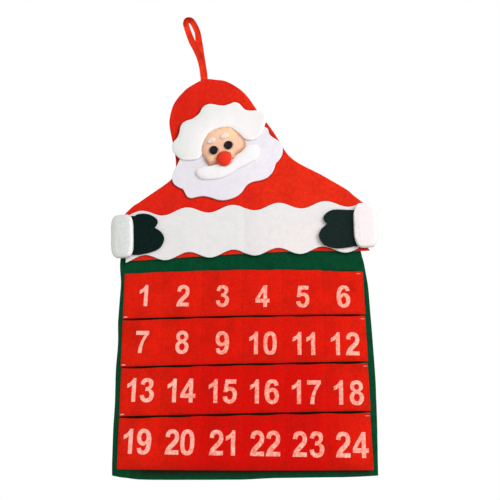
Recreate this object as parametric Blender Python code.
"""A fabric advent calendar: a bearded figure in a red felt coat above four strips of pockets.

It hangs flat against a wall. X runs to the viewer's right, Z up, and -Y towards the viewer. The origin
is on the wall side of the back panel, at that panel's middle. A depth is a distance out from the wall.
"""

import math

import bmesh
import bpy
from mathutils import Matrix, Vector
from mathutils.geometry import delaunay_2d_cdt

MM = 0.001
SHARP = True  # marks a point of an outline where the cut edge turns sharply

# Clearances between neighbours
GAP = 0.3 * MM
SEAM_GAP = 0.7 * MM
WADDING_GAP = 0.5 * MM

# Back panel
PANEL_WIDTH = 277 * MM
PANEL_HEIGHT = 242 * MM
PANEL_THICKNESS = 2 * MM
PANEL_SHARES = [
    (-0.488, -0.482, SHARP), (-0.433, -0.491), (-0.343, -0.498), (0.000, -0.500), (0.361, -0.499),
    (0.487, -0.494, SHARP), (0.489, -0.442), (0.495, -0.312), (0.499, -0.178), (0.501, -0.110),
    (0.501, 0.048), (0.499, 0.211), (0.498, 0.293), (0.495, 0.341), (0.488, 0.413), (0.482, 0.449),
    (0.475, 0.500, SHARP), (-0.493, 0.500, SHARP), (-0.497, 0.450), (-0.495, 0.413), (-0.491, 0.360),
    (-0.493, 0.298), (-0.496, 0.200), (-0.497, 0.157), (-0.495, 0.085), (-0.497, -0.020),
    (-0.495, -0.110), (-0.493, -0.213), (-0.492, -0.314), (-0.490, -0.442),
]

# Pocket strips
POCKET_ROWS = 4
POCKETS_PER_ROW = 6
STRIP_THICKNESS = 1.2 * MM
ROW_GAP = 1.7 * MM
# The lines between the rows, from the foot up, each at its left end, middle and right end
ROW_LINE_SHARES = [
    (0.0401, 0.0310, 0.0277), (0.2533, 0.2591, 0.2620), (0.4661, 0.4702, 0.4694),
    (0.6806, 0.6831, 0.6764), (0.8950, 0.8983, 0.8773),
]
# Each row's left and right end, from the bottom row up
ROW_END_SHARES = [(-0.4730, 0.4720), (-0.4736, 0.4750), (-0.4765, 0.4773), (-0.4765, 0.4794)]
MOUTH_BELLY = 5.6 * MM
MOUTH_DIP = 0.9 * MM
BELLY_RISE_POWER = 1.3
CELLS_PER_POCKET = 6
CELLS_PER_HEIGHT = 5

# Coat and hat, cut as one felt
FIGURE_SIZE = 200 * MM
COAT_OVERLAP = 9 * MM
COAT_THICKNESS = 2 * MM
COAT_SHARES = [
    (-0.650, -0.007, SHARP), (-0.662, 0.044), (-0.672, 0.194), (-0.676, 0.260), (-0.669, 0.280),
    (-0.626, 0.323), (-0.597, 0.341), (-0.549, 0.376), (-0.500, 0.410), (-0.447, 0.448), (-0.407, 0.483),
    (-0.390, 0.522), (-0.384, 0.563), (-0.389, 0.633), (-0.404, 0.715), (-0.423, 0.805), (-0.429, 0.854),
    (-0.425, 0.898), (-0.415, 0.941), (-0.399, 0.976), (-0.349, 1.040), (-0.322, 1.075), (-0.284, 1.103),
    (-0.244, 1.125), (-0.199, 1.132), (-0.149, 1.124), (-0.100, 1.118), (-0.051, 1.092), (0.002, 1.046),
    (0.048, 0.987), (0.095, 0.914), (0.147, 0.837), (0.198, 0.756), (0.250, 0.654), (0.273, 0.615),
    (0.298, 0.585), (0.348, 0.545), (0.448, 0.485), (0.498, 0.452), (0.603, 0.380), (0.639, 0.343),
    (0.682, 0.304), (0.699, 0.286), (0.709, 0.242), (0.703, 0.143), (0.702, 0.053), (0.704, 0.024),
    (0.691, 0.012), (0.450, 0.020), (0.200, 0.020), (-0.050, 0.014), (-0.300, 0.005), (-0.550, -0.006),
]

# Trim band across the coat
BAND_LEFT_SHARE = -0.655
BAND_RIGHT_SHARE = 0.650
BAND_THICKNESS = 1.5 * MM
BAND_TOP_SHARE = 0.2895
BAND_BOTTOM_SHARE = 0.0225
BAND_DROOP = 5.4 * MM
BAND_DROOP_POWER = 3
WAVE_HEIGHT = 4.0 * MM
TOP_WAVE_LENGTH = 52.8 * MM
TOP_WAVE_CREST = -10.4 * MM
BOTTOM_WAVE_LENGTH = 50.2 * MM
BOTTOM_WAVE_CREST = -9.8 * MM
POINTS_PER_WAVE = 12

# Head, all about the middle of the face
HEAD_SIZE = 100 * MM
HEAD_X_SHARE = -0.100
HEAD_Z_SHARE = 0.645
BEARD_THICKNESS = 2.4 * MM
BEARD_SHARES = [
    (0.500, 0.290), (0.540, 0.260), (0.560, 0.200), (0.610, 0.150), (0.660, 0.110), (0.692, 0.055),
    (0.703, 0.000), (0.690, -0.075), (0.650, -0.140), (0.607, -0.190), (0.588, -0.250),
    (0.555, -0.310), (0.500, -0.362), (0.425, -0.390), (0.362, -0.400), (0.300, -0.419),
    (0.250, -0.462), (0.210, -0.525), (0.162, -0.569), (0.087, -0.603), (0.000, -0.619),
    (-0.075, -0.610), (-0.150, -0.581), (-0.238, -0.560), (-0.313, -0.569), (-0.375, -0.581),
    (-0.425, -0.562), (-0.453, -0.512), (-0.478, -0.467), (-0.525, -0.444), (-0.581, -0.400),
    (-0.606, -0.337), (-0.600, -0.262), (-0.575, -0.175), (-0.538, -0.100), (-0.520, -0.060),
    (-0.500, 0.050), (-0.420, 0.200), (-0.250, 0.320), (0.000, 0.380), (0.300, 0.370), (0.450, 0.330),
]
# The seam where the hat's brim meets the face, from the right of the forehead over to the left cheek
BROW_SEAM_SHARES = [
    (0.239, 0.129), (0.194, 0.181), (0.145, 0.233), (0.084, 0.281), (0.007, 0.289), (-0.068, 0.276),
    (-0.144, 0.244), (-0.195, 0.190), (-0.233, 0.112), (-0.254, 0.026), (-0.249, -0.044),
]
# The seam where the moustache meets the face, from the left cheek to the right one
LIP_SEAM_SHARES = [
    (-0.162, -0.193), (-0.082, -0.169), (0.015, -0.146), (0.104, -0.116), (0.141, -0.073),
    (0.208, -0.038), (0.250, 0.007),
]
BRIM_RIM = 1.8 * MM
BRIM_CROWN = 3.4 * MM
BRIM_SHOULDER = 5 * MM
BRIM_SHARES = [
    (-0.303, -0.102), (-0.393, -0.110), (-0.480, -0.102), (-0.529, -0.078), (-0.566, -0.035),
    (-0.596, 0.001), (-0.609, 0.059), (-0.597, 0.117), (-0.552, 0.177), (-0.528, 0.240), (-0.515, 0.320),
    (-0.489, 0.368), (-0.439, 0.398), (-0.378, 0.416), (-0.322, 0.455), (-0.285, 0.499), (-0.261, 0.555),
    (-0.217, 0.596), (-0.155, 0.608), (-0.093, 0.595), (-0.006, 0.579), (0.068, 0.595), (0.130, 0.618),
    (0.191, 0.596), (0.229, 0.547), (0.271, 0.505), (0.353, 0.496), (0.407, 0.498), (0.458, 0.473),
    (0.492, 0.432), (0.501, 0.372), (0.482, 0.286), (0.452, 0.200), (0.402, 0.140), (0.327, 0.113),
    (0.268, 0.122),
]
FACE_RIM = 1.6 * MM
FACE_CROWN = 7.2 * MM
FACE_SHOULDER = 14 * MM
FACE_FELT = 0.8 * MM
CHEEK_RIGHT_SHARES = [(0.255, 0.044), (0.252, 0.094)]
CHEEK_LEFT_SHARES = [(-0.221, -0.089), (-0.193, -0.154)]
MOUSTACHE_RIM = 1.5 * MM
MOUSTACHE_CROWN = 4.7 * MM
MOUSTACHE_SHOULDER = 8 * MM
MOUSTACHE_RIGHT_SHARES = [
    (0.290, 0.026), (0.353, 0.033), (0.404, 0.013), (0.417, -0.047), (0.402, -0.106), (0.352, -0.149),
    (0.265, -0.198), (0.165, -0.248), (0.103, -0.292), (0.029, -0.328), (-0.071, -0.360),
    (-0.195, -0.366), (-0.269, -0.347), (-0.314, -0.305), (-0.324, -0.269), (-0.304, -0.230),
    (-0.242, -0.205),
]
EYE_DIAMETER = 10 * MM
EYE_HEIGHT = 3.6 * MM
EYE_SEAT_DEPTH = 1.1 * MM
EYE_SHARES = {"eye_left": (-0.109, -0.031), "eye_right": (0.063, 0.026)}
NOSE_DIAMETER = 17.5 * MM
NOSE_HEIGHT = 9.4 * MM
NOSE_SEAT = 3.0 * MM
NOSE_SHARE = (0.013, -0.132)
SEAT_MARGIN = 0.6 * MM
EYEBROW_LENGTH = 9.5 * MM
EYEBROW_HEIGHT = 6 * MM
EYEBROW_RIM = 0.6 * MM
EYEBROW_CROWN = 1.5 * MM
EYEBROW_TILT = math.radians(28)
EYEBROW_SHARES = {"eyebrow_left": (-0.135, 0.102), "eyebrow_right": (0.019, 0.146)}

# Cuffs at the sleeve ends
CUFF_WIDTH = 25.2 * MM
CUFF_HEIGHT = 51 * MM
CUFF_CROWN = 8.2 * MM
CUFF_RIM_LOW = 1.8 * MM
CUFF_RIM_HIGH = 5.6 * MM
CUFF_SHOULDER = 6 * MM
CUFF_FELT = 1 * MM
CUFF_CORNER_POWER = 4.2
CUFF_SLIT_WIDTH = 3 * MM
CUFF_SLIT_HEIGHT = 30 * MM
CUFF_LEFT_SHARE = (-0.674, 0.129)
CUFF_LEFT_TURN = math.radians(3.1)
CUFF_RIGHT_SHARE = (0.6945, 0.1525)
CUFF_RIGHT_TURN = math.radians(1.2)

# Mittens, whose fingers lift from the band; the pattern runs out from the wrist, about the cuff's middle
MITTEN_SIZE = 50 * MM
MITTEN_THICKNESS = 2 * MM
MITTEN_SHARES = [
    (0.210, 0.373), (0.420, 0.381), (0.545, 0.347), (0.654, 0.261), (0.684, 0.185), (0.660, 0.115),
    (0.600, 0.047, SHARP), (0.690, -0.023), (0.760, -0.100), (0.804, -0.223), (0.776, -0.331),
    (0.700, -0.440), (0.576, -0.500), (0.420, -0.523), (0.220, -0.513),
]
WRIST_TOP_SHARE = 0.360
WRIST_BOTTOM_SHARE = -0.485
WRIST_TUCK = 4.5 * MM
WRIST_SHOW = 1.2 * MM
LEFT_MITTEN_SLIP = (-6.4 * MM, 4.7 * MM)
LEFT_MITTEN_TURN = math.radians(5.5)
RIGHT_MITTEN_SLIP = (-0.4 * MM, 0.7 * MM)
RIGHT_MITTEN_TURN = 0
MITTEN_LEFT_LIFT = 0.6 * MM
MITTEN_RIGHT_LIFT = 2.4 * MM
WRIST_ROOM = 1.6 * MM
WRIST_STEP = 2.5 * MM

# Hanging loop, a ribbon whose two ends are sewn behind the hat
RIBBON_WIDTH = 6 * MM
RIBBON_THICKNESS = 0.45 * MM
LOOP_HEIGHT = 87 * MM
LOOP_LEAN = 4 * MM
LOOP_X_SHARE = -0.2235
LOOP_Z_SHARE = 1.142
TWIST_START_SHARE = 0.36
TWIST_END_SHARE = 0.62
FOLD_ROOM = 0.1 * MM
SEWN_LENGTH = 14 * MM
LOOP_ROUTE_SHARES = [
    (-0.010, 0.001), (-0.026, 0.152), (-0.041, 0.243), (-0.061, 0.333), (-0.094, 0.432), (-0.137, 0.526),
    (-0.186, 0.609), (-0.226, 0.692), (-0.258, 0.775), (-0.282, 0.856), (-0.299, 0.929), (-0.293, 0.980),
    (-0.256, 0.999), (-0.211, 0.989), (-0.179, 0.950), (-0.157, 0.893), (-0.133, 0.830), (-0.106, 0.741),
    (-0.090, 0.652), (-0.070, 0.532), (-0.049, 0.422), (-0.029, 0.305), (-0.010, 0.192), (0.004, 0.095),
    (0.010, 0.001),
]

# Fineness of the facets
CURVE_STEPS = 3
PAD_STEP = 5 * MM
RING_SHARES = (0.12, 0.4, 0.85)
ROUND_SIDES = 20
DOME_RINGS = 4

# Colours, as linear red, green and blue
RED_FELT = (0.72, 0.018, 0.008)
GREEN_FELT = (0.004, 0.052, 0.022)
WHITE_FELT = (0.80, 0.78, 0.78)
BEARD_WHITE = (0.78, 0.76, 0.82)
PEACH = (0.90, 0.58, 0.36)
DARK_FELT = (0.006, 0.016, 0.014)
BLACK_GLOSS = (0.004, 0.004, 0.006)
RIBBON_RED = (0.78, 0.025, 0.010)
WADDING_WHITE = (0.85, 0.85, 0.85)

# Places that follow from the sizes
FIGURE_BASE = PANEL_HEIGHT / 2 - COAT_OVERLAP
STRIP_BACK = PANEL_THICKNESS + GAP
COAT_BACK = PANEL_THICKNESS + GAP
COAT_FRONT = COAT_BACK + COAT_THICKNESS
BAND_BACK = COAT_FRONT + GAP
BAND_FRONT = BAND_BACK + BAND_THICKNESS
BEARD_FRONT = BAND_BACK + BEARD_THICKNESS
HEAD_BACK = BEARD_FRONT + GAP
MITTEN_BACK = BAND_FRONT + GAP
MITTEN_FRONT = MITTEN_BACK + MITTEN_THICKNESS
CUFF_BACK = BAND_FRONT + GAP
HEAD_X = HEAD_X_SHARE * FIGURE_SIZE
HEAD_Z = FIGURE_BASE + HEAD_Z_SHARE * FIGURE_SIZE
LOOP_X = LOOP_X_SHARE * FIGURE_SIZE
LOOP_Z = FIGURE_BASE + LOOP_Z_SHARE * FIGURE_SIZE


def clear_scene():
    for obj in list(bpy.data.objects):
        bpy.data.objects.remove(obj)


def material(name, colour, roughness):
    mat = bpy.data.materials.new(name)
    mat.use_nodes = True
    shader = mat.node_tree.nodes["Principled BSDF"]
    shader.inputs["Base Color"].default_value = (*colour, 1)
    shader.inputs["Roughness"].default_value = roughness
    shader.inputs["Metallic"].default_value = 0
    mat.diffuse_color = (*colour, 1)
    return mat


def add_object(name, mesh_data, colour, roughness=0.9, pivot=None):
    """One named node. A moving piece gets its origin at pivot, a point on its joint's axis."""
    mesh = bpy.data.meshes.new(name)
    mesh_data.to_mesh(mesh)
    mesh_data.free()
    obj = bpy.data.objects.new(name, mesh)
    if pivot is not None:
        obj.location = pivot
        for vertex in mesh.vertices:
            vertex.co -= Vector(pivot)
    mesh.materials.append(material(name, colour, roughness))
    bpy.context.scene.collection.objects.link(obj)
    return obj


def at(x, z, depth):
    return Vector((x, -depth, z))


def smooth_outline(points, steps=CURVE_STEPS):
    """A closed curve through the points, with a corner at each one marked SHARP."""
    count = len(points)
    sharp = [len(p) > 2 for p in points]
    flat = [Vector(p[:2]) for p in points]
    outline = []
    for i in range(count):
        before, start, end, after = (flat[(i + k) % count] for k in (-1, 0, 1, 2))
        if sharp[i]:
            before = start
        if sharp[(i + 1) % count]:
            after = end
        for step in range(steps):
            outline.append(curve_point(before, start, end, after, step / steps))
    return outline


def curve_point(before, start, end, after, t):
    """A point of the smooth curve that runs from start to end as t goes from 0 to 1."""
    slope = end - before
    bend = 2 * before - 5 * start + 4 * end - after
    twist = 3 * start - before - 3 * end + after
    return start + (slope * t + bend * t**2 + twist * t**3) / 2


def edge_distance(outline, point):
    """How far a point lies from the nearest stretch of a closed outline."""
    best = math.inf
    for i, start in enumerate(outline):
        along = outline[(i + 1) % len(outline)] - start
        t = max(0, min(1, (point - start).dot(along) / max(along.length_squared, GAP**4)))
        best = min(best, (point - start - along * t).length)
    return best


def is_inside(outline, point):
    inside = False
    for i, start in enumerate(outline):
        end = outline[(i + 1) % len(outline)]
        if (start.y > point.y) != (end.y > point.y):
            crossing = start.x + (point.y - start.y) / (end.y - start.y) * (end.x - start.x)
            inside ^= point.x < crossing
    return inside


def is_clockwise(outline):
    return sum(a.cross(outline[i - 1]) for i, a in enumerate(outline)) > 0


def inset_outline(outline, distance):
    """The outline moved inwards, point by point, square to its edge."""
    turn = 1 if is_clockwise(outline) else -1
    moved = []
    for i, point in enumerate(outline):
        along = (outline[(i + 1) % len(outline)] - outline[i - 1]).normalized()
        moved.append(point + Vector((along.y, -along.x)) * distance * turn)
    return moved


def inner_points(outline, shoulder, step):
    """Points inside an outline: rings that follow its edge across the shoulder, then an even fill."""
    points = []
    for share in RING_SHARES:
        inset = share * shoulder
        for i, p in enumerate(inset_outline(outline, inset)):
            near_edge = edge_distance(outline, p) < inset * 0.96
            crowded = i % 2 and share > RING_SHARES[0]
            if not near_edge and not crowded and is_inside(outline, p):
                points.append(p)
    deep = RING_SHARES[-1] * shoulder + step / 2
    low_x, high_x = min(p.x for p in outline), max(p.x for p in outline)
    low_z, high_z = min(p.y for p in outline), max(p.y for p in outline)
    for row in range(int((high_z - low_z) / step) + 1):
        for column in range(int((high_x - low_x) / step) + 1):
            shift = 0.5 if row % 2 else 0
            p = Vector((low_x + (column + shift) * step, low_z + row * step))
            if is_inside(outline, p) and edge_distance(outline, p) > deep:
                points.append(p)
    return points


def solid_between(outline, back, front, inside=()):
    """A closed solid with the given outline. back and front give its two depths at a place."""
    rim = outline if not is_clockwise(outline) else outline[::-1]
    places, _, faces, *_ = delaunay_2d_cdt([*rim, *inside], [], [list(range(len(rim)))], 1, GAP / 1000)
    mesh = bmesh.new()
    backs = [mesh.verts.new(at(p.x, p.y, back(p))) for p in places]
    fronts = [mesh.verts.new(at(p.x, p.y, front(p))) for p in places]
    borders = {}
    for face in faces:
        for i, b in enumerate(face):
            a = face[i - 1]
            if (b, a) in borders:
                del borders[b, a]
            else:
                borders[a, b] = True
        mesh.faces.new([fronts[i] for i in face])
        mesh.faces.new([backs[i] for i in reversed(face)])
    for a, b in borders:
        mesh.faces.new([fronts[b], fronts[a], backs[a], backs[b]])
    bmesh.ops.recalc_face_normals(mesh, faces=mesh.faces)
    if mesh.calc_volume(signed=True) < 0:
        bmesh.ops.reverse_faces(mesh, faces=mesh.faces)
    return mesh


def level(depth):
    return lambda place: depth


def crowned(outline, rim, crown, shoulder):
    """A depth that rises from rim at the outline to crown, in a quarter round as wide as the shoulder."""

    def depth(place):
        share = min(edge_distance(outline, place) / shoulder, 1)
        return rim + (crown - rim) * math.sqrt(1 - (1 - share) ** 2)

    return depth


def felt_sheet(name, outline, back, thickness, colour):
    """A piece cut from flat felt."""
    return add_object(name, solid_between(outline, level(back), level(back + thickness)), colour)


def figure_points(shares):
    """The points of a table about the middle of the coat's lower edge."""
    return [(x * FIGURE_SIZE, FIGURE_BASE + z * FIGURE_SIZE, *sharp) for x, z, *sharp in shares]


def head_points(shares):
    """The points of a table about the middle of the face."""
    return [(HEAD_X + x * HEAD_SIZE, HEAD_Z + z * HEAD_SIZE, *sharp) for x, z, *sharp in shares]


def head_place(share):
    return Vector(head_points([share])[0])


def spread_from_face(points, distance):
    """The points moved away from the middle of the face."""
    middle = Vector((HEAD_X, HEAD_Z))
    return [tuple(Vector(p) + (Vector(p) - middle).normalized() * distance) for p in points]


def moved(points, step):
    return [(x + step[0], z + step[1], *sharp) for x, z, *sharp in points]


def sharp_ends(points):
    return [(*points[0][:2], SHARP), *points[1:-1], (*points[-1][:2], SHARP)]


def back_panel():
    points = [(x * PANEL_WIDTH, z * PANEL_HEIGHT, *sharp) for x, z, *sharp in PANEL_SHARES]
    felt_sheet("back_panel", smooth_outline(points), 0, PANEL_THICKNESS, GREEN_FELT)


def row_line(line, across):
    """The height of a line between rows, where across runs from 0 at its left end to 1 at its right end."""
    left, middle, right = ROW_LINE_SHARES[line]
    bend = left * (1 - across) * (1 - 2 * across) + right * across * (2 * across - 1)
    return PANEL_HEIGHT * (bend + 4 * middle * across * (1 - across) - 0.5)


def row_edges(row, across):
    """The heights of a strip's lower edge and of its upper edge, for rows counted from the bottom."""
    low = row_line(row, across) + (ROW_GAP / 2 if row else 0)
    high = row_line(row + 1, across) - (ROW_GAP / 2 if row < POCKET_ROWS - 1 else 0)
    return low, high


def pocket_strip(name, row):
    """One strip of felt, sewn along its foot and between its pockets, whose mouths stand open a little."""
    left, right = (share * PANEL_WIDTH for share in ROW_END_SHARES[row])
    columns, rows = POCKETS_PER_ROW * CELLS_PER_POCKET, CELLS_PER_HEIGHT
    mesh = bmesh.new()
    grid = {}
    for i in range(columns + 1):
        across = i / columns
        arch = math.sin(math.pi * i / CELLS_PER_POCKET) ** 2
        low, high = row_edges(row, across)
        top = high - MOUTH_DIP * arch
        for j in range(rows + 1):
            up = j / rows
            belly = MOUTH_BELLY * arch * math.sin(math.pi / 2 * up) ** BELLY_RISE_POWER
            x, z, back = left + (right - left) * across, low + (top - low) * up, STRIP_BACK + belly
            grid[i, j, 0] = mesh.verts.new(at(x, z, back))
            grid[i, j, 1] = mesh.verts.new(at(x, z, back + STRIP_THICKNESS))
    for side in (0, 1):
        for i in range(columns):
            for j in range(rows):
                mesh.faces.new([grid[i, j, side], grid[i + 1, j, side], grid[i + 1, j + 1, side],
                                grid[i, j + 1, side]])
    rim = [(i, 0) for i in range(columns)] + [(columns, j) for j in range(rows)]
    rim += [(i, rows) for i in range(columns, 0, -1)] + [(0, j) for j in range(rows, 0, -1)]
    for k, (i, j) in enumerate(rim):
        m, n = rim[(k + 1) % len(rim)]
        mesh.faces.new([grid[i, j, 0], grid[m, n, 0], grid[m, n, 1], grid[i, j, 1]])
    bmesh.ops.recalc_face_normals(mesh, faces=mesh.faces)
    obj = add_object(name, mesh, RED_FELT)
    obj.data.shade_smooth()
    obj.data.set_sharp_from_angle(angle=math.radians(40))


def coat():
    felt_sheet("coat", smooth_outline(figure_points(COAT_SHARES)), COAT_BACK, COAT_THICKNESS, RED_FELT)


def band_edge(x, level_share, crest, wave):
    """The height of the band's edge at x: a wave that sinks towards the left end."""
    left, right = BAND_LEFT_SHARE * FIGURE_SIZE, BAND_RIGHT_SHARE * FIGURE_SIZE
    droop = BAND_DROOP * ((right - x) / (right - left)) ** BAND_DROOP_POWER
    plain = FIGURE_BASE + level_share * FIGURE_SIZE - droop
    return plain + WAVE_HEIGHT * math.cos(2 * math.pi * (x - crest) / wave)


def trim_band():
    left, right = BAND_LEFT_SHARE * FIGURE_SIZE, BAND_RIGHT_SHARE * FIGURE_SIZE
    count = round((right - left) / TOP_WAVE_LENGTH * POINTS_PER_WAVE)
    xs = [left + (right - left) * i / count for i in range(count + 1)]
    bottom = [Vector((x, band_edge(x, BAND_BOTTOM_SHARE, BOTTOM_WAVE_CREST, BOTTOM_WAVE_LENGTH))) for x in xs]
    top = [Vector((x, band_edge(x, BAND_TOP_SHARE, TOP_WAVE_CREST, TOP_WAVE_LENGTH))) for x in xs]
    felt_sheet("trim_band", bottom + top[::-1], BAND_BACK, BAND_THICKNESS, WHITE_FELT)


def beard():
    outline = smooth_outline(head_points(BEARD_SHARES))
    felt_sheet("beard", outline, BAND_BACK, BEARD_THICKNESS, BEARD_WHITE)


def hat_brim():
    seam = sharp_ends(spread_from_face(head_points(BROW_SEAM_SHARES), SEAM_GAP / 2))
    outline = smooth_outline(seam + head_points(BRIM_SHARES))
    front = crowned(outline, HEAD_BACK + BRIM_RIM, HEAD_BACK + BRIM_CROWN, BRIM_SHOULDER)
    inside = inner_points(outline, BRIM_SHOULDER, 2 * PAD_STEP)
    soft_piece("hat_brim", solid_between(outline, level(HEAD_BACK), front, inside), WHITE_FELT)


def soft_piece(name, mesh, colour, roughness=0.9):
    obj = add_object(name, mesh, colour, roughness)
    obj.data.shade_smooth()
    obj.data.set_sharp_from_angle(angle=math.radians(50))
    return obj


def face_outline():
    brow = spread_from_face(head_points(BROW_SEAM_SHARES), -SEAM_GAP / 2)
    lip = sharp_ends(moved(head_points(LIP_SEAM_SHARES), (-SEAM_GAP / 4, SEAM_GAP / 2)))
    left, right = head_points(CHEEK_LEFT_SHARES), head_points(CHEEK_RIGHT_SHARES)
    return smooth_outline([*brow, *left, lip[0], *lip[1:-1], lip[-1][:2], *right])


def pressed(depth, seats):
    """The depth with a flat seat pressed in at each (middle, radius, seat depth)."""

    def seated(place):
        floors = [seat for middle, radius, seat in seats if (place - middle).length < radius]
        return min([depth(place), *floors])

    return seated


def seat_points(seats):
    """Points on and just outside the rim of each seat, so that its edge comes out round."""
    points = []
    for middle, radius, _ in seats:
        for ring in (radius - SEAT_MARGIN / 2, radius + SEAT_MARGIN / 2):
            for k in range(ROUND_SIDES):
                angle = 2 * math.pi * k / ROUND_SIDES
                points.append(middle + Vector((math.cos(angle), math.sin(angle))) * ring)
    return points


def fitting(outline, points, room):
    return [p for p in points if is_inside(outline, p) and edge_distance(outline, p) > room]


def nose_seat():
    return head_place(NOSE_SHARE), NOSE_DIAMETER / 2 + SEAT_MARGIN, HEAD_BACK + NOSE_SEAT


def face_seats():
    eye = HEAD_BACK + FACE_CROWN - EYE_SEAT_DEPTH
    seats = [(head_place(share), EYE_DIAMETER / 2 + SEAT_MARGIN, eye) for share in EYE_SHARES.values()]
    return [*seats, nose_seat()]


def face_depth():
    outline = face_outline()
    dome = crowned(outline, HEAD_BACK + FACE_RIM, HEAD_BACK + FACE_CROWN, FACE_SHOULDER)
    return pressed(dome, face_seats())


def away_from_seats(points, seats):
    """The points that leave room for the seats' own ones."""
    return [p for p in points
            if all(abs((p - middle).length - radius) > 2 * SEAT_MARGIN for middle, radius, _ in seats)]


def face():
    """The face's felt, open at its back, and the wadding that fills it out."""
    cover = face_solid("face_cover", 0, HEAD_BACK, PEACH)
    cut(cover, face_solid("face_hollow", FACE_FELT, HEAD_BACK - FACE_CROWN, PEACH))
    cover.data.shade_smooth()
    face_solid("face_wadding", FACE_FELT + 2 * WADDING_GAP, HEAD_BACK, WADDING_WHITE).data.shade_smooth()


def face_solid(name, wall, back, colour):
    """The face's solid, one wall inside its outer surface, down to the given back."""
    outline = face_outline()
    inner = inset_outline(outline, wall) if wall else outline
    seats = [(middle, radius + wall, seat - wall) for middle, radius, seat in face_seats()]
    dome = crowned(inner, HEAD_BACK + FACE_RIM - wall, HEAD_BACK + FACE_CROWN - wall, FACE_SHOULDER)
    inside = away_from_seats(inner_points(inner, FACE_SHOULDER, PAD_STEP), seats)
    inside += fitting(inner, seat_points(seats), SEAT_MARGIN)
    return add_object(name, solid_between(inner, level(back), pressed(dome, seats), inside), colour)


def cut(obj, cutter):
    """Takes the cutter's shape out of obj for good, and removes the cutter."""
    modifier = obj.modifiers.new("cut", "BOOLEAN")
    modifier.operation = "DIFFERENCE"
    modifier.solver = "EXACT"
    modifier.object = cutter
    graph = bpy.context.evaluated_depsgraph_get()
    result = bpy.data.meshes.new_from_object(obj.evaluated_get(graph))
    obj.modifiers.remove(modifier)
    obj.data = result
    bpy.data.objects.remove(cutter)


def moustache():
    lip = moved(head_points(LIP_SEAM_SHARES), (SEAM_GAP / 4, -SEAM_GAP / 2))
    lip[-1] = (*lip[-1], SHARP)
    outline = smooth_outline(lip + head_points(MOUSTACHE_RIGHT_SHARES))
    puff = crowned(outline, HEAD_BACK + MOUSTACHE_RIM, HEAD_BACK + MOUSTACHE_CROWN, MOUSTACHE_SHOULDER)
    seats = [nose_seat()]
    inside = away_from_seats(inner_points(outline, MOUSTACHE_SHOULDER, PAD_STEP), seats)
    inside += fitting(outline, seat_points(seats), SEAT_MARGIN)
    mesh = solid_between(outline, level(HEAD_BACK), pressed(puff, seats), inside)
    soft_piece("moustache", mesh, WHITE_FELT)


def dome(name, middle, diameter, back, height, colour, roughness):
    """A round button or ball with a flat back, turned about the line that stands out of the wall."""
    mesh = bmesh.new()
    radius = diameter / 2
    profile = [(radius * math.cos(math.pi / 2 * k / DOME_RINGS), math.sin(math.pi / 2 * k / DOME_RINGS))
               for k in range(DOME_RINGS)]
    foot = mesh.verts.new(at(middle.x, middle.y, back))
    tip = mesh.verts.new(at(middle.x, middle.y, back + height))
    rings = [ring_of(mesh, middle, radius * 0.8, back)]
    rings += [ring_of(mesh, middle, r, back + height * (0.2 + 0.8 * rise)) for r, rise in profile]
    for k in range(ROUND_SIDES):
        n = (k + 1) % ROUND_SIDES
        mesh.faces.new([foot, rings[0][k], rings[0][n]])
        mesh.faces.new([tip, rings[-1][n], rings[-1][k]])
        for low, high in zip(rings, rings[1:]):
            mesh.faces.new([low[k], high[k], high[n], low[n]])
    bmesh.ops.recalc_face_normals(mesh, faces=mesh.faces)
    soft_piece(name, mesh, colour, roughness)


def ring_of(mesh, middle, radius, depth):
    angles = [2 * math.pi * k / ROUND_SIDES for k in range(ROUND_SIDES)]
    return [mesh.verts.new(at(middle.x + radius * math.cos(a), middle.y + radius * math.sin(a), depth))
            for a in angles]


def eyes_and_nose():
    eye_back = HEAD_BACK + FACE_CROWN - EYE_SEAT_DEPTH + GAP
    for name, share in EYE_SHARES.items():
        dome(name, head_place(share), EYE_DIAMETER, eye_back, EYE_HEIGHT, BLACK_GLOSS, 0.15)
    nose_back = HEAD_BACK + NOSE_SEAT + GAP
    dome("nose", head_place(NOSE_SHARE), NOSE_DIAMETER, nose_back, NOSE_HEIGHT, RED_FELT, 0.9)


def oval(middle, width, height, power, tilt, sides):
    """A closed outline between an ellipse, at power 2, and a rectangle, at high powers."""
    outline = []
    for k in range(sides):
        angle = 2 * math.pi * k / sides
        c, s = math.cos(angle), math.sin(angle)
        reach = (abs(c) ** power + abs(s) ** power) ** (-1 / power)
        x, z = width / 2 * c * reach, height / 2 * s * reach
        outline.append(middle + Vector((x * math.cos(tilt) - z * math.sin(tilt),
                                        x * math.sin(tilt) + z * math.cos(tilt))))
    return outline


def eyebrows():
    """Two soft tufts that follow the forehead."""
    skin = face_depth()
    for name, share in EYEBROW_SHARES.items():
        outline = oval(head_place(share), EYEBROW_LENGTH, EYEBROW_HEIGHT, 2, EYEBROW_TILT, ROUND_SIDES)
        puff = crowned(outline, EYEBROW_RIM, EYEBROW_CROWN, EYEBROW_HEIGHT / 2)
        inside = inner_points(outline, EYEBROW_HEIGHT / 2, EYEBROW_HEIGHT / 2)
        mesh = solid_between(outline, lambda p: skin(p) + 2 * GAP,
                             lambda p, puff=puff: skin(p) + 2 * GAP + puff(p), inside)
        soft_piece(name, mesh, WHITE_FELT)


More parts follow.
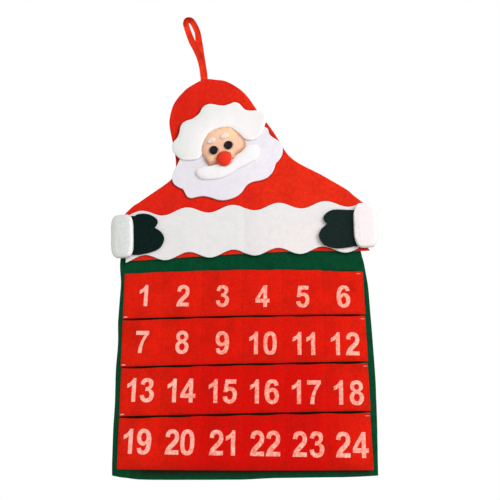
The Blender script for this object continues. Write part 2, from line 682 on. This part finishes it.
def cuff(name, share, side, turn):
    """A stuffed felt cuff: a pouch with a slit against the sleeve, and its wadding. side is -1 on the left."""
    middle = Vector(figure_points([share])[0])
    outline = oval(middle, CUFF_WIDTH, CUFF_HEIGHT, CUFF_CORNER_POWER, turn, 2 * ROUND_SIDES)
    cover = add_object(name, pillow(outline, middle, side, 0), WHITE_FELT)
    hollow = add_object(name + "_hollow", pillow(outline, middle, side, CUFF_FELT), WHITE_FELT)
    cut(cover, hollow)
    slit_x = middle.x - side * CUFF_WIDTH / 8
    slit = oval(Vector((slit_x, middle.y)), CUFF_SLIT_WIDTH, CUFF_SLIT_HEIGHT, 2, 0, ROUND_SIDES)
    reach = (level(CUFF_BACK - CUFF_FELT), level(CUFF_BACK + 2 * CUFF_FELT))
    cut(cover, add_object(name + "_slit", solid_between(slit, *reach), WHITE_FELT))
    cover.data.shade_smooth()
    filling = pillow(outline, middle, side, CUFF_FELT + WADDING_GAP)
    soft_piece(name + "_wadding", filling, WADDING_WHITE)


def pillow(outline, middle, side, wall):
    """A cushion with drawn-in sides, one wall inside the outline, that leaves room for the mitten's wrist."""
    inner = inset_outline(outline, wall) if wall else outline
    base = CUFF_BACK + wall
    low = crowned(inner, CUFF_BACK + CUFF_RIM_LOW + wall, base, CUFF_SHOULDER)
    high = crowned(inner, CUFF_BACK + CUFF_RIM_HIGH - wall, CUFF_BACK + CUFF_CROWN - wall, CUFF_SHOULDER)
    wrist_depth = MITTEN_FRONT + GAP + wall
    wrist_edge = middle.x - side * (CUFF_WIDTH / 2 - WRIST_TUCK - WRIST_ROOM - wall)

    def back(place):
        past = side * (wrist_edge - place.x) / WRIST_ROOM
        room = base + (wrist_depth - base) * max(0, min(1, past + 1))
        return max(low(place), room)

    inside = inner_points(inner, CUFF_SHOULDER, PAD_STEP)
    reach = CUFF_HEIGHT / 2 - CUFF_SHOULDER
    steps = 2 * int(reach / WRIST_STEP) + 1
    for k in range(steps):
        z = middle.y + reach * (2 * k / (steps - 1) - 1)
        for x in (wrist_edge, wrist_edge + side * WRIST_ROOM):
            inside.append(Vector((x, z)))
    return solid_between(inner, back, high, fitting(inner, inside, GAP))


def mitten(name, cuff_share, side, slip, turn, lift):
    """A felt hand that lifts about the wrist, and the wrist's end, which is sewn down under the cuff."""
    middle = Vector(figure_points([cuff_share])[0])
    hinge_x = middle.x - side * (CUFF_WIDTH / 2 + WRIST_SHOW)
    start_x = middle.x - side * CUFF_WIDTH / 2
    hand = []
    for out, up, *sharp in MITTEN_SHARES:
        reach = Vector((out * MITTEN_SIZE, up * MITTEN_SIZE))
        reach.rotate(Matrix.Rotation(turn, 2))
        reach += Vector(slip)
        hand.append((start_x - side * reach.x, middle.y + reach.y, *sharp))
    top = middle.y + WRIST_TOP_SHARE * MITTEN_SIZE + slip[1]
    bottom = middle.y + WRIST_BOTTOM_SHARE * MITTEN_SIZE + slip[1]
    outline = smooth_outline([(hinge_x, top, SHARP), *hand, (hinge_x, bottom, SHARP)])
    length = max(abs(p.x - hinge_x) for p in outline)

    def back(place):
        return MITTEN_BACK + lift * (abs(place.x - hinge_x) / length) ** 2

    inside = fitting(outline, inner_points(outline, PAD_STEP, 2 * PAD_STEP), PAD_STEP / 2)
    mesh = solid_between(outline, back, lambda p: back(p) + MITTEN_THICKNESS, inside)
    add_object(name, mesh, DARK_FELT, pivot=at(hinge_x, (top + bottom) / 2, MITTEN_FRONT))
    near = hinge_x + side * GAP
    far = hinge_x + side * (WRIST_TUCK + WRIST_SHOW)
    wrist = [Vector(p) for p in ((near, bottom), (far, bottom), (far, top), (near, top))]
    felt_sheet(name + "_wrist", wrist, MITTEN_BACK, MITTEN_THICKNESS, DARK_FELT)


def loop_route():
    """The middle of the ribbon from one sewn end to the other, as (place, share of the way)."""
    route = [Vector((LOOP_X + x * LOOP_HEIGHT, LOOP_Z + z * LOOP_HEIGHT)) for x, z in LOOP_ROUTE_SHARES]
    fine = []
    for i in range(len(route) - 1):
        before, after = route[max(i - 1, 0)], route[min(i + 2, len(route) - 1)]
        for step in range(2):
            fine.append(curve_point(before, route[i], route[i + 1], after, step / 2))
    fine.append(route[-1])
    lengths = [0]
    for a, b in zip(fine, fine[1:]):
        lengths.append(lengths[-1] + (b - a).length)
    return [(p, along / lengths[-1]) for p, along in zip(fine, lengths)]


def hanging_loop():
    """A flat ribbon whose legs face the viewer and which turns on edge where it goes over the nail."""
    route = loop_route()
    mesh = bmesh.new()
    rings = []
    front_leg, back_leg = ribbon_depths()
    for i, (p, share) in enumerate(route):
        ahead, behind = route[min(i + 1, len(route) - 1)][0], route[max(i - 1, 0)][0]
        along = (ahead - behind).normalized()
        rise = (p.y - LOOP_Z) / LOOP_HEIGHT
        depth = front_leg + (back_leg - front_leg) * share + LOOP_LEAN * max(0, rise) ** 2
        turned = max(0, min(1, (share - TWIST_START_SHARE) / (TWIST_END_SHARE - TWIST_START_SHARE)))
        angle = math.pi * turned**2 * (3 - 2 * turned)
        across = Vector((-along.y, 0, along.x)) * math.cos(angle) + Vector((0, 1, 0)) * math.sin(angle)
        flat = Vector((along.x, 0, along.y))
        if i in (0, len(route) - 1):
            across, flat = Vector((-1, 0, 0)), Vector((0, 0, -1 if i else 1))
        thick = flat.cross(across).normalized()
        middle = at(p.x, p.y, depth)
        corners = ((-1, -1), (1, -1), (1, 1), (-1, 1))
        rings.append([mesh.verts.new(middle + across * a * RIBBON_WIDTH / 2 + thick * b * RIBBON_THICKNESS / 2)
                      for a, b in corners])
    for a, b in zip(rings, rings[1:]):
        for k in range(4):
            mesh.faces.new([a[k], a[(k + 1) % 4], b[(k + 1) % 4], b[k]])
    mesh.faces.new(rings[0])
    mesh.faces.new(rings[-1])
    bmesh.ops.recalc_face_normals(mesh, faces=mesh.faces)
    add_object("hanging_loop", mesh, RIBBON_RED, 0.4, pivot=at(LOOP_X, LOOP_Z, (front_leg + back_leg) / 2))


def ribbon_depths():
    """The depths of the front and back leg of the ribbon where it leaves the hat's edge."""
    front = COAT_BACK - GAP - RIBBON_THICKNESS / 2
    return front, front - 2 * RIBBON_THICKNESS


def loop_sewn_ends():
    """The ribbon's two ends, sewn one on the other behind the top of the hat."""
    front_leg, back_leg = ribbon_depths()
    stack = front_leg - back_leg + RIBBON_THICKNESS
    top = LOOP_Z - stack / 2 - FOLD_ROOM
    spread = (LOOP_ROUTE_SHARES[-1][0] - LOOP_ROUTE_SHARES[0][0]) * LOOP_HEIGHT
    half = (RIBBON_WIDTH + spread) / 2
    ends = [Vector(p) for p in ((LOOP_X - half, top - SEWN_LENGTH), (LOOP_X + half, top - SEWN_LENGTH),
                                (LOOP_X + half, top), (LOOP_X - half, top))]
    felt_sheet("loop_sewn_ends", ends, back_leg - RIBBON_THICKNESS / 2, stack, RIBBON_RED)


def build():
    clear_scene()
    back_panel()
    for row in range(POCKET_ROWS):
        pocket_strip(f"pocket_strip_{POCKET_ROWS - row}", row)
    coat()
    trim_band()
    beard()
    hat_brim()
    face()
    moustache()
    eyes_and_nose()
    eyebrows()
    cuff("cuff_left", CUFF_LEFT_SHARE, -1, CUFF_LEFT_TURN)
    cuff("cuff_right", CUFF_RIGHT_SHARE, 1, -CUFF_RIGHT_TURN)
    mitten("mitten_left", CUFF_LEFT_SHARE, -1, LEFT_MITTEN_SLIP, LEFT_MITTEN_TURN, MITTEN_LEFT_LIFT)
    mitten("mitten_right", CUFF_RIGHT_SHARE, 1, RIGHT_MITTEN_SLIP, RIGHT_MITTEN_TURN, MITTEN_RIGHT_LIFT)
    hanging_loop()
    loop_sewn_ends()


build()
